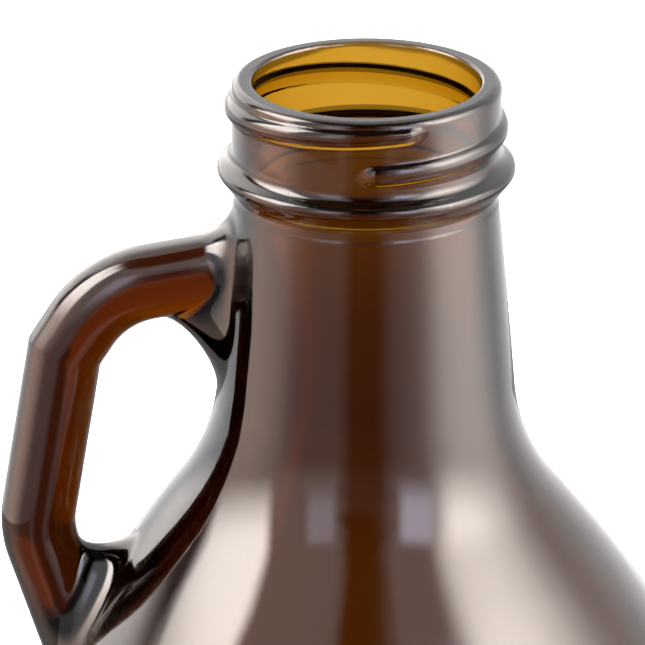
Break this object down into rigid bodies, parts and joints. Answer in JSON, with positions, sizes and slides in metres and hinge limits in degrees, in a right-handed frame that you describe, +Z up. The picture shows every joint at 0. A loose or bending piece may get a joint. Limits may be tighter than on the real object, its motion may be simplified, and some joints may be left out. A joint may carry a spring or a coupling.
{
  "type": "growler jug",
  "caption": "Amber glass growler jug: round body, long rising shoulder, narrow neck with a rod handle, transfer bead and screw finish, mouth open.",
  "frame": {"origin": "centre of the base, on the plane that the jug stands on", "axes": "+Z up along the jug's axis, out of the mouth; the handle lies in the XZ plane on the -X side"},
  "size_m": [0.13, 0.13, 0.266],
  "materials": {
    "amber_glass": "clear amber glass, fire-polished outside"
  },
  "bodies": {
    "root": {"sealing_lip": "amber_glass", "finish_wall": "amber_glass", "thread_ridge": "amber_glass", "transfer_bead": "amber_glass", "neck": "amber_glass", "neck_flare": "amber_glass", "shoulder": "amber_glass", "body_wall": "amber_glass", "heel": "amber_glass", "base_panel": "amber_glass", "bearing_ring": "amber_glass", "handle_upper_root": "amber_glass", "handle_upper_bend": "amber_glass", "handle_grip": "amber_glass", "handle_lower_bend": "amber_glass", "handle_lower_root": "amber_glass"}
  },
  "joints": []
}
